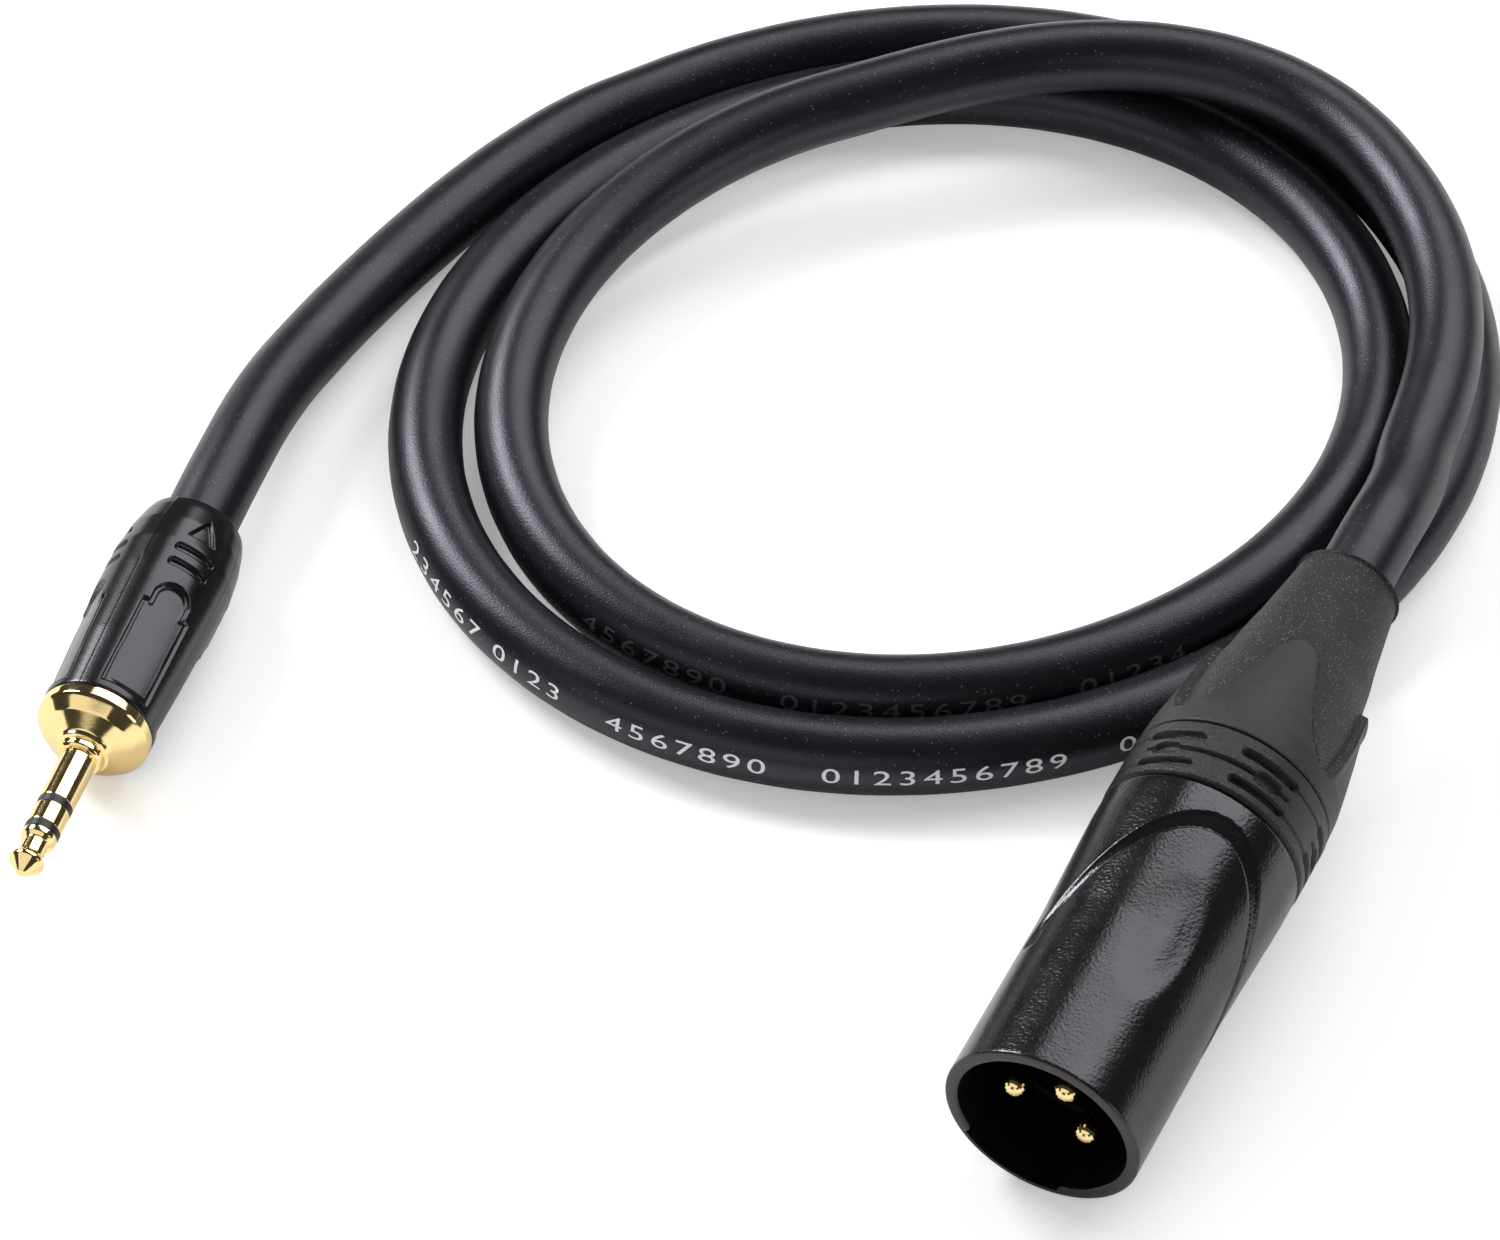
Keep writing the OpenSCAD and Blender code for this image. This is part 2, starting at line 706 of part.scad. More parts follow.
module plug_core_red() { color([0.7, 0.05, 0.05]) plug_core(-1); }
module plug_core_white() { color([0.9, 0.9, 0.88]) plug_core(1); }

module plug_solder() {
    bead = 1;
    color([0.78, 0.78, 0.8]) in_plug() {
        translate([0, -rod_r - 0.6 - seat - bead / 2, stem_back + 1.9]) sphere(d = bead, $fn = 32);
        translate([0, ring_tube_r + 1.1 + seat + bead / 2, stem_back + 1.9]) sphere(d = bead, $fn = 32);
    }
}

xlr_shell();
xlr_insert();
xlr_pin_1();
xlr_pin_2();
xlr_pin_3();
xlr_ground_ring();
xlr_solder();
xlr_core_red();
xlr_core_white();
xlr_drain();
xlr_chuck();
xlr_nut();
xlr_collar();
xlr_boot();
plug_tip();
plug_ring();
plug_body();
plug_band_front();
plug_band_rear();
plug_washer();
plug_tip_lug();
plug_ring_lug();
plug_clamp();
plug_liner();
plug_barrel();
plug_core_red();
plug_core_white();
plug_solder();
cable_coil();
plug_lead();
xlr_lead();
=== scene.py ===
"""Adaptor cable in a loose coil: a gold 3.5 mm plug at one end, a black 3-pin XLR at the other."""

import math

import bmesh
import bpy
from mathutils import Matrix, Vector


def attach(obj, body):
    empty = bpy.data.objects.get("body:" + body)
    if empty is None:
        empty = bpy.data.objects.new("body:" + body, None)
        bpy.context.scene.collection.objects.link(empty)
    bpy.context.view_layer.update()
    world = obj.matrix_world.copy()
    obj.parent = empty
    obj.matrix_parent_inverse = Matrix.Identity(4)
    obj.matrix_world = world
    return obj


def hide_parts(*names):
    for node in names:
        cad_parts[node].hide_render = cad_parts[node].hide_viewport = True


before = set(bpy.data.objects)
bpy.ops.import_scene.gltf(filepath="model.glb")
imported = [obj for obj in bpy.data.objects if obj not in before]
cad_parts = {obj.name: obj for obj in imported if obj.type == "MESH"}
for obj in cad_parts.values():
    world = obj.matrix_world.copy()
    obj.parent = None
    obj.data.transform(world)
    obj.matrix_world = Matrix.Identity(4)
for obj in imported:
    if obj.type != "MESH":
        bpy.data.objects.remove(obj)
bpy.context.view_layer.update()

MM = 0.001
CABLE_D = 7.5
CABLE_R = CABLE_D / 2


# ---------- where the two connectors lie, as in the part's source ----------

XLR_X, XLR_Y = 50.8, -28.5
XLR_TILT = math.radians(2.5)
XLR_ROLL = math.radians(22)
PLUG_X, PLUG_Y = -47.7, -41.3
PLUG_YAW = math.radians(10)
MOUTH_R, BARREL_R = 9.5, 6.2
LAID_DOWN = Matrix.Rotation(-math.pi / 2, 4, "X")

NUT_PLACE = (
    Matrix.Translation((XLR_X, XLR_Y, MOUTH_R * math.cos(XLR_TILT)))
    @ Matrix.Rotation(XLR_TILT, 4, "X")
    @ LAID_DOWN
)
XLR_PLACE = NUT_PLACE @ Matrix.Rotation(XLR_ROLL, 4, "Z")
PLUG_PLACE = (
    Matrix.Translation((PLUG_X, PLUG_Y, BARREL_R)) @ Matrix.Rotation(PLUG_YAW, 4, "Z") @ LAID_DOWN
)


def on_axis(place, s):
    """The point s millimetres along a connector's axis."""
    return place @ Vector((0, 0, s))


# ---------- camera, light and floor ----------


def place_camera():
    """A long lens from the front right, as the picture was taken."""
    data = bpy.data.cameras.new("camera")
    data.sensor_width = 36
    data.lens = 136.2
    data.clip_start = 0.05
    data.clip_end = 20
    camera = bpy.data.objects.new("camera", data)
    bpy.context.collection.objects.link(camera)
    camera.location = (0.1683, -0.3213, 0.4062)
    aim = Vector((-0.0041, 0.0235, 0)) - camera.location
    camera.rotation_euler = aim.to_track_quat("-Z", "Y").to_euler()
    bpy.context.scene.camera = camera


def softbox(name, place, aim, size, watts):
    """A rectangular studio light that points at aim."""
    data = bpy.data.lights.new(name, "AREA")
    data.shape = "RECTANGLE"
    data.size, data.size_y = size
    data.energy = watts
    light = bpy.data.objects.new(name, data)
    bpy.context.collection.objects.link(light)
    light.location = place
    light.rotation_euler = (Vector(aim) - Vector(place)).to_track_quat("-Z", "Y").to_euler()


MIDDLE = (0, 0.03, 0)


def light_studio():
    """A wide softbox behind and above, one on the left, and cards in front and on the right."""
    softbox("back_softbox", (0.2, 0.85, 0.95), (0.02, 0.03, 0), (1.3, 0.85), 11)
    softbox("left_softbox", (-1.0, 0.25, 0.75), MIDDLE, (0.5, 0.5), 13)
    softbox("right_card", (1.1, -0.1, 0.3), MIDDLE, (0.5, 0.35), 1.2)
    softbox("front_card", (-0.1, -1.2, 0.65), MIDDLE, (1.8, 0.7), 3.5)


def fill_room():
    """A pale room: white to the camera, dark in the reflections, a soft fill for everything else."""
    world = bpy.data.worlds.new("room")
    bpy.context.scene.world = world
    world.use_nodes = True
    tree = world.node_tree
    tree.nodes.clear()
    path = tree.nodes.new("ShaderNodeLightPath")
    room = tree.nodes.new("ShaderNodeBackground")
    room.inputs["Color"].default_value = (1, 1, 1, 1)
    room.inputs["Strength"].default_value = 0.34
    dark = tree.nodes.new("ShaderNodeBackground")
    dark.inputs["Strength"].default_value = 0.06
    seen = tree.nodes.new("ShaderNodeBackground")
    seen.inputs["Strength"].default_value = 1
    first = tree.nodes.new("ShaderNodeMixShader")
    mix = tree.nodes.new("ShaderNodeMixShader")
    out = tree.nodes.new("ShaderNodeOutputWorld")
    tree.links.new(path.outputs["Is Glossy Ray"], first.inputs[0])
    tree.links.new(room.outputs[0], first.inputs[1])
    tree.links.new(dark.outputs[0], first.inputs[2])
    tree.links.new(path.outputs["Is Camera Ray"], mix.inputs[0])
    tree.links.new(first.outputs[0], mix.inputs[1])
    tree.links.new(seen.outputs[0], mix.inputs[2])
    tree.links.new(mix.outputs[0], out.inputs["Surface"])


def lay_floor():
    """A white sheet that keeps the object's shadow."""
    bm = bmesh.new()
    bmesh.ops.create_grid(bm, x_segments=1, y_segments=1, size=3)
    mesh = bpy.data.meshes.new("floor")
    bm.to_mesh(mesh)
    bm.free()
    floor = bpy.data.objects.new("floor", mesh)
    bpy.context.collection.objects.link(floor)
    material = bpy.data.materials.new("white_sheet")
    material.use_nodes = True
    tree = material.node_tree
    tree.nodes.clear()
    sheet = tree.nodes.new("ShaderNodeBsdfDiffuse")
    sheet.inputs["Color"].default_value = (0.9, 0.9, 0.9, 1)
    lift = tree.nodes.new("ShaderNodeEmission")
    lift.inputs["Strength"].default_value = 0.3
    nothing = tree.nodes.new("ShaderNodeBsdfDiffuse")
    nothing.inputs["Color"].default_value = (0, 0, 0, 1)
    path = tree.nodes.new("ShaderNodeLightPath")
    seen = tree.nodes.new("ShaderNodeMixShader")
    add = tree.nodes.new("ShaderNodeAddShader")
    out = tree.nodes.new("ShaderNodeOutputMaterial")
    tree.links.new(path.outputs["Is Camera Ray"], seen.inputs[0])
    tree.links.new(nothing.outputs[0], seen.inputs[1])
    tree.links.new(lift.outputs[0], seen.inputs[2])
    tree.links.new(sheet.outputs[0], add.inputs[0])
    tree.links.new(seen.outputs[0], add.inputs[1])
    tree.links.new(add.outputs[0], out.inputs["Surface"])
    mesh.materials.append(material)


# ---------- the cable ----------

COIL_X, COIL_Y = -0.9, 57.25
COIL_R, TOP_R = 57.0, 51.0
COIL_OVAL, COIL_OVAL_ANGLE = 0.058, 120.0
STRAND_PITCH = (CABLE_D + 0.45) / (1 - COIL_OVAL)
LAYER_GAP = 0.5
COIL_START, COIL_END = 30.0, 885.0
PLUG_ROUTE = (
    (-59.2, 25, 0.3), (-59.6, 35, 0.75), (-59, 45, 1),
    (-57.8, 53, 1), (-56.2, 61, 1), (-53.9, 69.3, 1),
)
XLR_ROUTE = ((50.7, 55, 0.35), (50.3, 59, 0.8))


def ease(u):
    return (1 - math.cos(math.pi * min(1, max(0, u)))) / 2


def coil_point(angle):
    """A point of the coil's centre line, angle in degrees clockwise from -X."""
    inwards = COIL_R - STRAND_PITCH * angle / 360
    r = inwards + (TOP_R - inwards) * ease((angle - 768) / 72)
    r *= 1 + COIL_OVAL * math.cos(math.radians(2 * (angle - COIL_OVAL_ANGLE)))
    a = math.radians(angle)
    z = CABLE_R + (CABLE_D + LAYER_GAP) * ease((angle - 640) / 180)
    return Vector((COIL_X - r * math.cos(a), COIL_Y + r * math.sin(a), z))


def coil_heading(angle):
    return (coil_point(angle + 0.05) - coil_point(angle - 0.05)).normalized()


def fall(route, top, bottom):
    """Route points whose height runs from top to bottom by their third number."""
    return [Vector((x, y, top + (bottom - top) * w)) for x, y, w in route]


def cable_route():
    """The cable's centre line from inside the XLR's boot to inside the plug's barrel."""
    coil_exit = coil_point(COIL_END) + CABLE_D * coil_heading(COIL_END)
    coil_entry = coil_point(COIL_START) - CABLE_D * coil_heading(COIL_START)
    out = [on_axis(XLR_PLACE, s) for s in (42, 54, 62, 70.5, 80)]
    out += fall(XLR_ROUTE, out[-1].z, coil_exit.z)
    out.append(coil_exit)
    steps = 114
    for i in range(steps + 1):
        out.append(coil_point(COIL_END + (COIL_START - COIL_END) * i / steps))
    out.append(coil_entry)
    back = [on_axis(PLUG_PLACE, s) for s in (55.7, 46.2, 41, 36)]
    out += reversed(fall(PLUG_ROUTE, back[0].z, CABLE_R))
    out += back
    return out


def run_cable(material):
    """The jacket as one smooth tube."""
    route = cable_route()
    curve = bpy.data.curves.new("cable_jacket", "CURVE")
    curve.dimensions = "3D"
    curve.bevel_depth = CABLE_R * MM
    curve.bevel_resolution = 12
    curve.resolution_u = 4
    curve.use_fill_caps = True
    spline = curve.splines.new("BEZIER")
    spline.bezier_points.add(len(route) - 1)
    for knot, point in zip(spline.bezier_points, route):
        knot.co = point * MM
        knot.handle_left_type = knot.handle_right_type = "AUTO"
    curve.materials.append(material)
    cable = bpy.data.objects.new("cable_jacket", curve)
    bpy.context.collection.objects.link(cable)
    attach(cable, "cable_and_connectors")
    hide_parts("cable_coil", "plug_lead", "xlr_lead")


# ---------- turned pieces ----------


def between(low, high, w):
    return low + (high - low) * w


def eased(x):
    """0 below 0, 1 above 1, smooth in between."""
    x = min(1, max(0, x))
    return x * x * (3 - 2 * x)


def along(points, x):
    """The height at x of a broken line through (x, height) points."""
    for (x0, y0), (x1, y1) in zip(points, points[1:]):
        if x <= x1:
            return between(y0, y1, max(0, (x - x0) / (x1 - x0)))
    return points[-1][1]


def rounded(profile, radius):
    """The closed profile with each corner cut back and bent through four steps."""
    out = []
    count = len(profile)
    for i, corner in enumerate(profile):
        here = Vector(corner)
        before = Vector(profile[i - 1]) - here
        after = Vector(profile[(i + 1) % count]) - here
        reach = min(radius, before.length * 0.45, after.length * 0.45)
        start = here + before.normalized() * reach
        end = here + after.normalized() * reach
        for k in range(5):
            w = k / 4
            out.append(start * (1 - w) ** 2 + here * 2 * w * (1 - w) + end * w * w)
    return out


def divided(profile, step, from_r):
    """The closed profile with its edges outside from_r cut into short steps."""
    out = []
    for i, point in enumerate(profile):
        after = profile[(i + 1) % len(profile)]
        out.append(point)
        if min(point[0], after[0]) < from_r:
            continue
        pieces = math.ceil((after - point).length / step)
        for k in range(1, pieces):
            out.append(point.lerp(after, k / pieces))
    return out


def turned_piece(
    name, place, profile, steps, material,
    relief=None, from_r=0.0, step=0.2, soften=0.12, after=None,
):
    """A closed profile of (radius, distance along the axis) in mm, spun round a connector's axis.

    relief takes the angle from the top towards +X and the distance along the axis, and gives how
    deep in mm the skin outside from_r is pressed in there. after gets the mesh for further cuts.
    """
    outline = divided(rounded(profile, soften), step, from_r)
    bm = bmesh.new()
    ring = [bm.verts.new((0, -point[0], point[1])) for point in outline]
    edges = [bm.edges.new((ring[i - 1], ring[i])) for i in range(len(ring))]
    bmesh.ops.spin(
        bm, geom=ring + edges, cent=(0, 0, 0), axis=(0, 0, 1),
        angle=2 * math.pi, steps=steps, use_merge=True,
    )
    bmesh.ops.recalc_face_normals(bm, faces=bm.faces)
    for vert in bm.verts:
        r = math.hypot(vert.co.x, vert.co.y)
        if relief and r >= from_r:
            depth = relief(math.atan2(vert.co.x, -vert.co.y), vert.co.z)
            vert.co.x *= (r - depth) / r
            vert.co.y *= (r - depth) / r
    if after:
        after(bm)
    bmesh.ops.transform(bm, matrix=Matrix.Scale(MM, 4) @ place, verts=bm.verts)
    return add_piece(name, bm, material)


def add_piece(name, bm, *materials):
    """A finished mesh as an object, shaded smooth."""
    mesh = bpy.data.meshes.new(name)
    bm.to_mesh(mesh)
    bm.free()
    for material in materials:
        mesh.materials.append(material)
    mesh.shade_smooth()
    piece = bpy.data.objects.new(name, mesh)
    bpy.context.collection.objects.link(piece)
    return piece


def paint_where(piece, place, material, wanted):
    """Gives faces a second material where wanted(x, y, s) holds, in the connector's own mm."""
    piece.data.materials.append(material)
    to_local = place.inverted()
    for face in piece.data.polygons:
        face.material_index = int(wanted(*(to_local @ (face.center / MM))))


def stands_for(piece, body, slot, *nodes):
    """Puts a piece on its CAD body in place of the CAD nodes."""
    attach(piece, body)
    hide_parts(*nodes)


# ---------- the XLR shell ----------

SHELL_LEN = 34.8
CARRIER_DEPTH = 14.8
MOUTH_BORE_R, REAR_R, REAR_BORE_R = 8.2, 10.0, 8.6
LATCH_R, LATCH_W, LATCH_LEN = 8.9, 9.5, 9.0
ARCH_FOOT, ARCH_APEX = 14.2, 32.4
ARCH_W = 2.0
PAD_MIDDLE, PAD_HALF_LENGTH, PAD_HALF_WIDTH = 17.9, 8.0, 3.44


def oval_distance(x, y, half_x, half_y):
    """Rough distance in mm outside an oval, below zero inside it."""
    size = math.hypot(x / half_x, y / half_y)
    slope = math.hypot(x / half_x**2, y / half_y**2) / max(size, 1e-6)
    return (size - 1) / max(slope, 1e-6)


def arch_relief(x, s):
    """An arched band on the shell: a slope down from its outer edge, then a sharp step up."""
    reach = ARCH_APEX - ARCH_FOOT
    inside = -oval_distance(x, s - ARCH_FOOT, MOUTH_R, reach)
    outside = oval_distance(x, s - ARCH_FOOT, MOUTH_R - ARCH_W / 4, reach - ARCH_W)
    if inside <= 0 or outside <= 0:
        return 0
    across = inside / (inside + outside)
    return between(0.12, 0.62, across) * eased(inside / 0.12) * eased(outside / 0.25)


def pad_relief(x, s):
    """A shallow oval pad for the thumb, its floor even with the shell round it."""
    room = 1 - (x / PAD_HALF_WIDTH) ** 2 - ((s - PAD_MIDDLE) / PAD_HALF_LENGTH) ** 2
    return 0.24 * eased(room / 0.85)


def shell_relief(angle, s):
    if math.cos(angle) <= 0:
        return 0
    x = MOUTH_R * math.sin(angle)
    depth = pad_relief(x, s)
    if s > ARCH_FOOT:
        depth = max(depth, arch_relief(x, s))
    return depth


def cut_latch_relief(bm):
    """Widens the mouth's inside where the latch of the mating connector goes."""
    for vert in bm.verts:
        x, y, s = vert.co
        r = math.hypot(x, y)
        if r < LATCH_R and s < LATCH_LEN and y > 0 and abs(x) < LATCH_W / 2:
            vert.co.x *= LATCH_R / r
            vert.co.y *= LATCH_R / r


# Where the painted shade goes: the inside of the shell's mouth, which really has the shell's gloss
# paint.
def is_in_painted_shade(x, y, s):
    return math.hypot(x, y) < LATCH_R + 0.05 and s > 0.15


def make_shell(material, inside):
    profile = [
        (MOUTH_BORE_R, 0), (MOUTH_R, 0), (MOUTH_R, SHELL_LEN * 0.55), (REAR_R, SHELL_LEN - 3),
        (REAR_R, SHELL_LEN), (REAR_BORE_R, SHELL_LEN), (REAR_BORE_R, CARRIER_DEPTH),
        (MOUTH_BORE_R, CARRIER_DEPTH), (MOUTH_BORE_R, LATCH_LEN + 0.1), (MOUTH_BORE_R, LATCH_LEN - 0.1),
    ]
    shell = turned_piece(
        "shell_skin", XLR_PLACE, profile, 400, material, shell_relief,
        from_r=9.3, step=0.22, soften=0.3, after=cut_latch_relief,
    )
    # The mouth's inside gets painted shade in place of the shell's gloss paint.
    paint_where(shell, XLR_PLACE, inside, is_in_painted_shade)
    stands_for(shell, "cable_and_connectors", "black_shell", "xlr_shell")


# ---------- the nut's grip ring ----------

GRIP_R = 10.1
GRIP_START, GRIP_END = 35.0, 42.0
FRONT_SLOT, MIDDLE_GROOVE, REAR_SLOT = 36.6, 38.3, 40.0
SLOT_FROM, SLOT_TO, ZONE_HALF = math.radians(11), math.radians(44), math.radians(60)
NUT_PITCH = 1.0
SLEEVE_START, SLEEVE_R, SLEEVE_BORE_R = 29, 8.45, 7.45
TUBE_END, TUBE_R, TUBE_BORE_R = 56.3, 5.6, 4.3
SLOT_DEPTH = 0.7


def trough(distance, half, wall=0.14):
    """1 inside a groove's half width, 0 outside it, with a soft wall between."""
    return 1 - eased((distance - half) / wall + 0.5)


def pill_distance(u, v, from_u, to_u):
    """Distance of (u, v) from the stretch from_u to to_u of the line v = 0."""
    return math.hypot(u - min(to_u, max(from_u, u)), v)


def grip_relief(angle, s):
    """Finger slots in three zones, a groove between them, and plain lands between the zones."""
    turn = abs((angle + ZONE_HALF) % (2 * ZONE_HALF) - ZONE_HALF)
    u = turn * GRIP_R
    start, end = SLOT_FROM * GRIP_R, SLOT_TO * GRIP_R
    depth = 0
    for middle in (FRONT_SLOT, REAR_SLOT):
        slot = pill_distance(u, s - middle, start + 0.35, end)
        depth = max(depth, SLOT_DEPTH * trough(slot, 0.41))
        depth = max(depth, 0.16 * trough(abs(s - middle), 0.1) * eased((turn - SLOT_TO) * 20))
    pocket = pill_distance(u, s - MIDDLE_GROOVE, start + 2.6, end - 1.6)
    depth = max(depth, 0.6 * trough(pocket, 0.62))
    depth = max(depth, 0.5 * trough(pill_distance(u, s - MIDDLE_GROOVE, 0, end), 0.2))
    depth = max(depth, 0.12 * trough(abs(u - 0.25 + 0.2 * eased(s - 38)), 0.04))
    return depth


def thread_relief(angle, s):
    """The thread on the nut's sleeve."""
    return 0.14 * (1 + math.cos(2 * math.pi * (s / NUT_PITCH - angle / (2 * math.pi))))


def nut_relief(angle, s):
    return grip_relief(angle, s) if s > GRIP_START + 0.1 else thread_relief(angle, s)


def make_nut(material):
    profile = [
        (SLEEVE_BORE_R, SLEEVE_START), (SLEEVE_R, SLEEVE_START), (SLEEVE_R, GRIP_START - 0.05),
        (GRIP_R - 0.35, GRIP_START - 0.05), (GRIP_R, GRIP_START + 0.35), (GRIP_R, GRIP_END - 0.3),
        (GRIP_R - 0.3, GRIP_END), (TUBE_R, GRIP_END), (TUBE_R, TUBE_END), (TUBE_BORE_R, TUBE_END),
        (TUBE_BORE_R, 40.8), (5.5, 40.8), (SLEEVE_BORE_R, 33.9),
    ]
    nut = turned_piece(
        "grip_ring", NUT_PLACE, profile, 480, material, nut_relief, from_r=8.3, step=0.13
    )
    stands_for(nut, "boot_nut", "gloss_plastic", "xlr_nut")


# ---------- the boot and its hard collar ----------

BOOT_START, BOOT_END = 42.05, 70.5
BOOT_BORE_R, COLLAR_BORE_R, COLLAR_BORE_END = 4.05, 5.66, 56.4
BOOT_TURN = math.radians(9)
LOBE_FRONT, SIDE_END, TONGUE_TIP = 44.4, 55.8, 56.8
# radius at each distance along the axis
BOOT_SLOPE = (
    (BOOT_START, 10.0), (44.9, 9.87), (48, 9.42), (51.5, 8.84), (54.9, 8.21), (58.6, 7.42), (62.8, 6.6),
)
# half the top tongue's angle, and the side shell's edge, in degrees from the top
TONGUE_EDGE = (
    (44, 50), (44.8, 40), (46.2, 31), (48.3, 25.5), (50.6, 21), (53, 17.8), (55, 14.3), (56.2, 9),
    (TONGUE_TIP, 0),
)
LIP_EDGE = ((44.3, 51), (45, 54.5), (47.4, 59), (50.5, 65), (53.7, 70), (SIDE_END, 74))


def boot_edges(angle, s):
    """Distances in mm outside the top tongue, inside the side shell's lip and behind its end."""
    turn = math.degrees(abs((angle - BOOT_TURN + math.pi) % (2 * math.pi) - math.pi))
    per_degree = math.radians(along(BOOT_SLOPE, s))
    from_tongue = max((turn - along(TONGUE_EDGE, s)) * per_degree, s - TONGUE_TIP)
    from_lip = (along(LIP_EDGE, s) - turn) * per_degree
    return from_tongue, max(from_lip, s - SIDE_END), s - LOBE_FRONT


def is_soft(x, y, s):
    from_tongue, from_lip, from_front = boot_edges(math.atan2(x, -y), s)
    return min(from_tongue, from_lip, from_front) > 0


def boot_relief(angle, s):
    """The soft part lies level with the top tongue's edge and well below the side shell's lip."""
    from_tongue, from_lip, from_front = boot_edges(angle, s)
    sunk = min(from_tongue, from_lip, from_front)
    tail = eased((s - 57) / 4)
    if sunk <= 0:
        lip = 0.3 * eased(1 + from_lip / 1.3) * eased((s - LOBE_FRONT) / 2)
        return 0.05 * eased(1 + sunk / 0.12) - (lip if from_tongue > 0 else 0)
    near_lip = from_tongue / max(from_tongue + max(from_lip, 0.01), 0.01)
    level = between(between(0.06, 0.55, eased(near_lip)), 0.35, tail)
    parting = 0.26 * (1 - eased(sunk / 0.25)) if from_tongue < 0.3 else 0
    return level * eased(sunk / 0.16) * (1 - 0.3 * (1 - eased(from_front / 2))) + parting


def make_boot(hard, soft):
    profile = [(r, s) for s, r in BOOT_SLOPE]
    profile += [
        (5.95, 67.1), (5.5, 70.1), (5.5, BOOT_END), (BOOT_BORE_R, BOOT_END),
        (BOOT_BORE_R, COLLAR_BORE_END), (COLLAR_BORE_R, COLLAR_BORE_END), (COLLAR_BORE_R, BOOT_START),
    ]
    boot = turned_piece(
        "boot_and_collar", NUT_PLACE, profile, 360, hard, boot_relief, from_r=5.45, soften=0.25
    )
    paint_where(boot, NUT_PLACE, soft, is_soft)
    stands_for(boot, "boot_nut", "soft_boot", "xlr_collar", "xlr_boot")


# ---------- the plug's barrel ----------

BARREL_START, BARREL_END = 19.7, 46.2
BARREL_BORE_R, LINER_START, LINER_END = 4.65, 25, 41.4
PANEL_TURN = math.radians(32)
PANEL_HALF_WIDTH, HEAD_R, HEAD_MIDDLE = 2.4, 1.75, 32.5
TRIANGLE_FOOT, TRIANGLE_TIP = 40.8, 43.8
RIDGE_TURN = math.radians(13)
# radius at each distance along the axis
BARREL_SLOPE = (
    (BARREL_START, 5.65), (27.1, 5.98), (36.1, BARREL_R), (39.8, BARREL_R), (42.8, 5.88), (45.1, 5.4),
    (46.1, 5.1),
)


def box_distance(u, v, half_u, half_v):
    """Distance outside a rectangle, below zero inside it."""
    return max(abs(u) - half_u, abs(v) - half_v)


def panel_shape(u, s):
    """Distance in mm outside a panel: a long oblong with shoulders and a narrower arched head."""
    oblong = box_distance(u, s - 26.1, PANEL_HALF_WIDTH, 5.2)
    neck = box_distance(u, s - 30, HEAD_R, 2.9)
    head = math.hypot(u, s - HEAD_MIDDLE) - HEAD_R
    return min(oblong, neck, head)


def barrel_relief(angle, s):
    quarter = math.pi / 2
    turn = (angle - PANEL_TURN + quarter / 2) % quarter - quarter / 2
    r = along(BARREL_SLOPE, s)
    u = r * math.sin(turn)
    panel = panel_shape(u, s)
    depth = 0.22 * trough(abs(panel), 0.2, 0.2)
    hollow = 1 - (u / PANEL_HALF_WIDTH) ** 2
    depth = max(depth, 0.16 * eased(-panel / 0.25) + 0.3 * eased(-panel / 0.3) * hollow)
    for middle in (36.9, 38.9):
        slot = pill_distance(abs(u), s - middle, 0, HEAD_R)
        depth = max(depth, 0.42 * trough(slot, 0.36, 0.2))
    upwards = (s - TRIANGLE_FOOT) / (TRIANGLE_TIP - TRIANGLE_FOOT)
    half = between(1.6, 0.1, min(1, max(0, upwards)))
    triangle = max(abs(u) - half, TRIANGLE_FOOT - s, s - TRIANGLE_TIP)
    depth = max(depth, 0.45 * eased(-triangle / 0.2))
    ridge = abs(angle + RIDGE_TURN) * r
    if s > 36 or ridge > 0.5:
        depth -= 0.06 * trough(ridge, 0.1, 0.2) * eased((s - 36) / 1.5)
    return depth + 0.05 * trough(abs(abs(turn) - quarter / 2) * r, 0.03, 0.08)


def make_barrel(material):
    profile = [(r, s) for s, r in BARREL_SLOPE]
    profile += [
        (5.0, BARREL_END), (4.05, BARREL_END), (4.05, LINER_END), (BARREL_BORE_R, LINER_END),
        (BARREL_BORE_R, LINER_START), (4.3, LINER_START), (4.3, BARREL_START),
    ]
    barrel = turned_piece(
        "barrel_skin", PLUG_PLACE, profile, 384, material, barrel_relief,
        from_r=4.75, step=0.17, soften=0.2,
    )
    stands_for(barrel, "barrel", "black_shell", "plug_barrel")


# ---------- the gold contacts of the plug ----------

PLUG_R = 1.75
ROD_R, ROD_END = 0.55, 23.7
RING_BORE_R, RING_START, RING_END, RING_TUBE_R, RING_TUBE_END = 0.77, 5.62, 8, 1, 22.5
SLEEVE_BORE, SLEEVE_FRONT, COLLAR_START = 1.27, 8.82, 14.8
FLANGE_R, FLANGE_END, STEM_R, STEM_END = 5.65, 19.55, 4.2, 24.9
STEM_BORE_R, STEM_FLOOR = 3.2, 20.9
CORE_R = 0.02


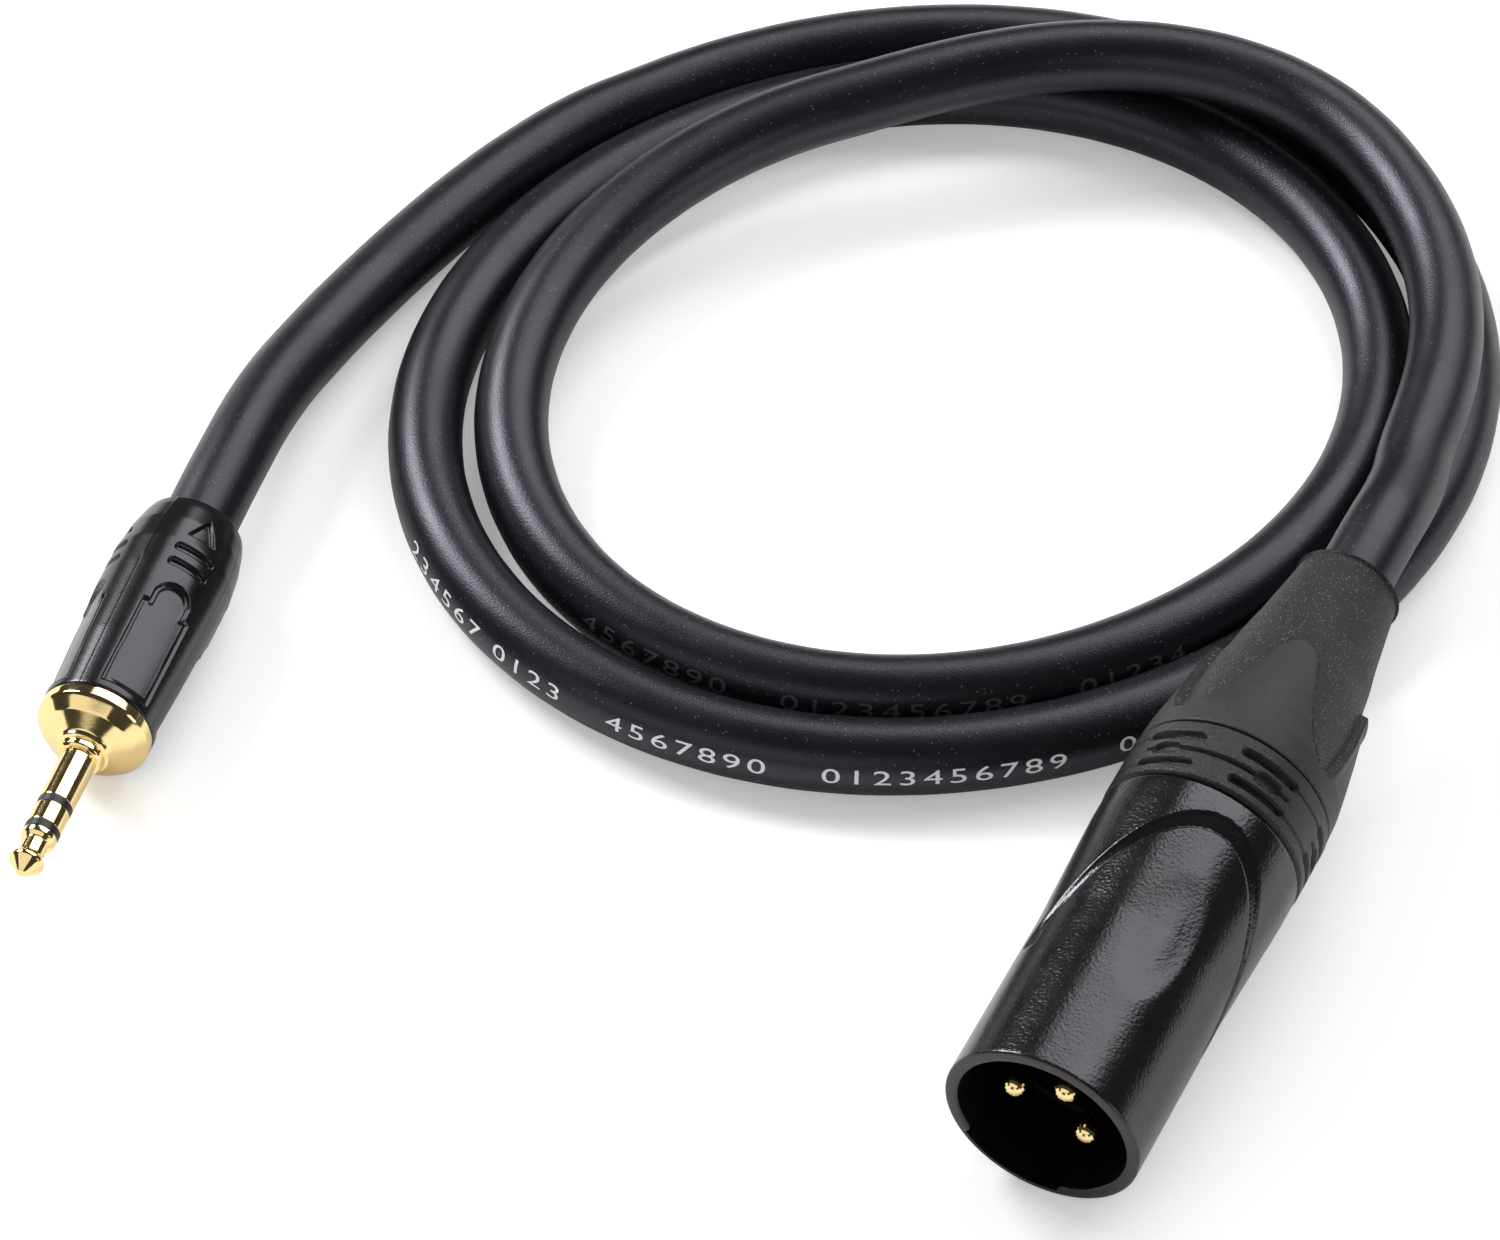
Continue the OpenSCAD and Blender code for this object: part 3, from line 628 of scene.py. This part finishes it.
def make_plug(gold):
    tip = [
        (CORE_R, 0), (0.45, 0), (1.7, 1.25), (1.72, 1.6), (1.3, 2.15), (1.3, 3.85),
        (1.7, 4.2), (PLUG_R, 4.8), (ROD_R, 4.8), (ROD_R, ROD_END), (CORE_R, ROD_END),
    ]
    ring = [
        (RING_BORE_R, RING_START), (PLUG_R, RING_START), (PLUG_R, RING_END), (RING_TUBE_R, RING_END),
        (RING_TUBE_R, RING_TUBE_END), (RING_BORE_R, RING_TUBE_END),
    ]
    sleeve = [
        (SLEEVE_BORE, SLEEVE_FRONT), (PLUG_R, SLEEVE_FRONT), (PLUG_R, COLLAR_START),
        (2.05, COLLAR_START), (2.3, 15.05), (2.3, 15.65), (2.7, 15.75), (2.8, 16.15), (4.55, 17.25),
        (5.5, 18.25), (FLANGE_R, 18.5), (FLANGE_R, FLANGE_END), (STEM_R, FLANGE_END),
        (STEM_R, STEM_END), (STEM_BORE_R, STEM_END), (STEM_BORE_R, STEM_FLOOR),
        (SLEEVE_BORE, STEM_FLOOR),
    ]
    for name, profile, node in (
        ("tip_contact", tip, "plug_tip"),
        ("ring_contact", ring, "plug_ring"),
        ("sleeve_contact", sleeve, "plug_body"),
    ):
        piece = turned_piece(name, PLUG_PLACE, profile, 128, gold, step=0.15, soften=0.09)
        stands_for(piece, "cable_and_connectors", "gold_plate", node)


# ---------- print on the jacket ----------

INK_LIFT = 0.035
PRINT_HEIGHT = 1.6
PRINT_WIDEN = 1.6
WORDS = "234567 0123   4567890   0123456789   01234"


def print_mesh(words):
    """Flat lettering as a mesh, cut fine enough to bend."""
    text = bpy.data.curves.new("numbers", "FONT")
    text.body = words
    text.size = PRINT_HEIGHT / 0.7
    text.space_character = 1.25
    lettering = bpy.data.objects.new("numbers", text)
    bpy.context.collection.objects.link(lettering)
    mesh = bpy.data.meshes.new_from_object(lettering)
    bpy.data.objects.remove(lettering)
    bm = bmesh.new()
    bm.from_mesh(mesh)
    bpy.data.meshes.remove(mesh)
    bmesh.ops.scale(bm, vec=(PRINT_WIDEN, 1, 1), verts=bm.verts)
    width = max(vert.co.x for vert in bm.verts)
    cuts = [((0, y * PRINT_HEIGHT / 8, 0), (0, 1, 0)) for y in range(1, 8)]
    cuts += [((x * 1.2, 0, 0), (1, 0, 0)) for x in range(1, int(width / 1.2) + 1)]
    for place, normal in cuts:
        everything = bm.verts[:] + bm.edges[:] + bm.faces[:]
        bmesh.ops.bisect_plane(bm, geom=everything, plane_co=place, plane_no=normal)
    return bm, width


def print_on_strand(name, words, start, tilt, material):
    """Lettering round the coil from the angle start on, tilt degrees outwards from its top."""
    bm, width = print_mesh(words)
    step = 0.25
    angles = [start]
    lengths = [0]
    up = Vector((0, 0, 1))
    while lengths[-1] < width + 2:
        angles.append(angles[-1] - step)
        lengths.append(lengths[-1] + (coil_point(angles[-1]) - coil_point(angles[-2])).length)
    for vert in bm.verts:
        along_strand, across = vert.co.x, vert.co.y - PRINT_HEIGHT / 2
        k = next(i for i, length in enumerate(lengths) if length >= along_strand)
        last_step = max(0.01, lengths[k] - lengths[max(0, k - 1)])
        angle = angles[k] + step * (lengths[k] - along_strand) / last_step
        centre = coil_point(angle)
        outwards = coil_heading(angle).cross(up).normalized()
        if outwards.dot(centre - Vector((COIL_X, COIL_Y, 0))) < 0:
            outwards = -outwards
        turn = math.radians(tilt) - across / CABLE_R
        normal = math.sin(turn) * outwards + math.cos(turn) * up
        vert.co = (centre + (CABLE_R + INK_LIFT) * normal) * MM
    bmesh.ops.recalc_face_normals(bm, faces=bm.faces)
    piece = add_piece(name, bm, material)
    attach(piece, "cable_and_connectors")


# ---------- materials ----------


def finish_of(name, colour, roughness, metallic=0.0, specular=0.5, shine=(1, 1, 1)):
    """A new material and its shader, with the even values set; shine tints the highlights."""
    material = bpy.data.materials.new(name)
    material.use_nodes = True
    shader = material.node_tree.nodes["Principled BSDF"]
    shader.inputs["Base Color"].default_value = (*colour, 1)
    shader.inputs["Roughness"].default_value = roughness
    shader.inputs["Metallic"].default_value = metallic
    shader.inputs["Specular IOR Level"].default_value = specular
    shader.inputs["Specular Tint"].default_value = (*shine, 1)
    return material, shader


def noise_of(tree, size_mm, detail=2.0):
    """Noise over the object's own space, with patches of about size_mm."""
    where = tree.nodes.new("ShaderNodeTexCoord")
    noise = tree.nodes.new("ShaderNodeTexNoise")
    noise.inputs["Scale"].default_value = 1 / (size_mm * MM)
    noise.inputs["Detail"].default_value = detail
    tree.links.new(where.outputs["Object"], noise.inputs["Vector"])
    return noise


def add_grain(material, shader, size_mm, height_mm, detail=3.0):
    """A fine moulded or sprayed grain as bump."""
    tree = material.node_tree
    noise = noise_of(tree, size_mm, detail)
    bump = tree.nodes.new("ShaderNodeBump")
    bump.inputs["Distance"].default_value = height_mm * MM
    tree.links.new(noise.outputs["Fac"], bump.inputs["Height"])
    tree.links.new(bump.outputs["Normal"], shader.inputs["Normal"])


def add_mottle(material, shader, socket, size_mm, low, high):
    """Slow patches that carry an even value between low and high."""
    tree = material.node_tree
    noise = noise_of(tree, size_mm)
    spread = tree.nodes.new("ShaderNodeMapRange")
    spread.inputs["From Min"].default_value = 0.3
    spread.inputs["From Max"].default_value = 0.7
    spread.inputs["To Min"].default_value = low
    spread.inputs["To Max"].default_value = high
    tree.links.new(noise.outputs["Fac"], spread.inputs["Value"])
    tree.links.new(spread.outputs["Result"], shader.inputs[socket])


def add_specks(material, shader, colour, speck, size_mm, share):
    """Tiny pale specks, as dust or glitter in the moulded skin."""
    tree = material.node_tree
    where = tree.nodes.new("ShaderNodeTexCoord")
    cells = tree.nodes.new("ShaderNodeTexVoronoi")
    cells.inputs["Scale"].default_value = 1 / (size_mm * MM)
    pick = tree.nodes.new("ShaderNodeSeparateColor")
    few = tree.nodes.new("ShaderNodeMath")
    few.operation = "GREATER_THAN"
    few.inputs[1].default_value = 1 - share
    near = tree.nodes.new("ShaderNodeMath")
    near.operation = "LESS_THAN"
    near.inputs[1].default_value = 0.36
    both = tree.nodes.new("ShaderNodeMath")
    both.operation = "MULTIPLY"
    mix = tree.nodes.new("ShaderNodeMix")
    mix.data_type = "RGBA"
    mix.inputs["A"].default_value = (*colour, 1)
    mix.inputs["B"].default_value = (*speck, 1)
    tree.links.new(where.outputs["Object"], cells.inputs["Vector"])
    tree.links.new(cells.outputs["Color"], pick.inputs["Color"])
    tree.links.new(pick.outputs["Red"], few.inputs[0])
    tree.links.new(cells.outputs["Distance"], near.inputs[0])
    tree.links.new(few.outputs[0], both.inputs[0])
    tree.links.new(near.outputs[0], both.inputs[1])
    tree.links.new(both.outputs[0], mix.inputs["Factor"])
    tree.links.new(mix.outputs["Result"], shader.inputs["Base Color"])


BLACK = (0.006, 0.006, 0.007)
VIOLET_SHINE, WARM_SHINE = (0.86, 0.84, 1), (0.97, 0.92, 1)


def soft_jacket():
    colour = (0.006, 0.006, 0.008)
    material, shader = finish_of("soft_jacket", colour, 0.35, specular=0.55, shine=VIOLET_SHINE)
    add_grain(material, shader, 0.2, 0.03)
    add_mottle(material, shader, "Roughness", 7, 0.31, 0.38)
    add_specks(material, shader, colour, (0.09, 0.09, 0.1), 0.24, 0.03)
    return material


def black_gloss_paint():
    material, shader = finish_of("black_gloss_paint", BLACK, 0.2, specular=0.6, shine=WARM_SHINE)
    add_grain(material, shader, 0.32, 0.036, detail=2)
    add_mottle(material, shader, "Roughness", 3, 0.17, 0.23)
    return material


def painted_shade_black():
    """Painted shade, near black and hardly reflecting. It goes on the deep mouth of the shell, whose
    real inside has the same gloss paint as the outside, and on the contact carrier, black plastic made
    darker and duller than it is as shade.
    """
    material, shader = finish_of("painted_shade_black", (0.003, 0.003, 0.003), 0.6, specular=0.12)
    add_grain(material, shader, 0.3, 0.01)
    add_mottle(material, shader, "Roughness", 3, 0.55, 0.65)
    return material


def black_satin_paint():
    material, shader = finish_of("black_satin_paint", BLACK, 0.22, specular=0.6, shine=WARM_SHINE)
    add_grain(material, shader, 0.22, 0.006, detail=1)
    add_mottle(material, shader, "Roughness", 3, 0.21, 0.24)
    return material


def gold_plate():
    material, shader = finish_of("gold_plate", (1.0, 0.77, 0.36), 0.09, metallic=1.0)
    add_grain(material, shader, 0.3, 0.002)
    add_mottle(material, shader, "Roughness", 2, 0.07, 0.13)
    return material


def moulded_plastic(name, tone, roughness, grain_mm, height_mm):
    material, shader = finish_of(name, (tone, tone, tone * 1.08), roughness)
    add_grain(material, shader, grain_mm, height_mm)
    add_mottle(material, shader, "Roughness", 4, roughness - 0.04, roughness + 0.05)
    return material


def boot_rubber():
    colour = (0.008, 0.0075, 0.009)
    material, shader = finish_of("boot_rubber", colour, 0.52)
    add_grain(material, shader, 0.17, 0.12)
    add_specks(material, shader, colour, (0.26, 0.26, 0.27), 0.15, 0.1)
    return material


def plain_finish(name, colour, roughness, metallic=0.0):
    material, shader = finish_of(name, colour, roughness, metallic)
    add_grain(material, shader, 0.3, 0.004)
    add_mottle(material, shader, "Roughness", 2, roughness - 0.05, roughness + 0.08)
    return material


def dress(node, material):
    """Gives a CAD node its finish."""
    mesh = bpy.data.objects[node].data
    mesh.materials.clear()
    mesh.materials.append(material)


# ---------- the scene ----------

place_camera()
light_studio()
fill_room()
lay_floor()

GOLD = gold_plate()
PAINT = black_gloss_paint()
# Painted shade for the inside of the shell's mouth and for the contact carrier.
MOUTH_SHADE = painted_shade_black()
CARRIER = moulded_plastic("carrier_plastic", 0.008, 0.4, 0.3, 0.01)
RING = moulded_plastic("ring_plastic", 0.005, 0.28, 0.16, 0.1)
COLLAR = moulded_plastic("collar_plastic", 0.013, 0.42, 0.15, 0.08)
NATURAL = plain_finish("natural_plastic", (0.8, 0.78, 0.7), 0.5)
TIN = plain_finish("tinned_metal", (0.7, 0.7, 0.71), 0.3, 1.0)
RED = plain_finish("red_insulation", (0.6, 0.03, 0.03), 0.4)
WHITE = plain_finish("white_insulation", (0.85, 0.85, 0.83), 0.4)
COPPER = plain_finish("bare_copper", (0.72, 0.43, 0.28), 0.3, 1.0)
WHITE_INK = plain_finish("white_ink", (0.75, 0.75, 0.77), 0.55)
GREY_INK = plain_finish("worn_ink", (0.055, 0.055, 0.058), 0.45)

# The contact carrier (xlr_insert) is black plastic, here made darker and duller as painted shade.
FINISHES = {
    "xlr_insert": MOUTH_SHADE, "xlr_pin_1": GOLD, "xlr_pin_2": GOLD, "xlr_pin_3": GOLD,
    "xlr_ground_ring": TIN, "xlr_solder": TIN, "xlr_core_red": RED, "xlr_core_white": WHITE,
    "xlr_drain": COPPER, "xlr_chuck": NATURAL, "plug_band_front": CARRIER,
    "plug_band_rear": CARRIER, "plug_washer": NATURAL, "plug_tip_lug": TIN,
    "plug_ring_lug": TIN, "plug_clamp": GOLD, "plug_liner": NATURAL, "plug_core_red": RED,
    "plug_core_white": WHITE, "plug_solder": TIN,
}
for node, material in FINISHES.items():
    dress(node, material)

run_cable(soft_jacket())
make_shell(PAINT, MOUTH_SHADE)
make_nut(RING)
make_boot(COLLAR, boot_rubber())
make_barrel(black_satin_paint())
make_plug(GOLD)
print_on_strand("print_outer", WORDS, 309.3, 76, WHITE_INK)
print_on_strand("print_inner", WORDS[14:], 649.5, 72, GREY_INK)

bpy.context.scene.view_settings.view_transform = "Standard"
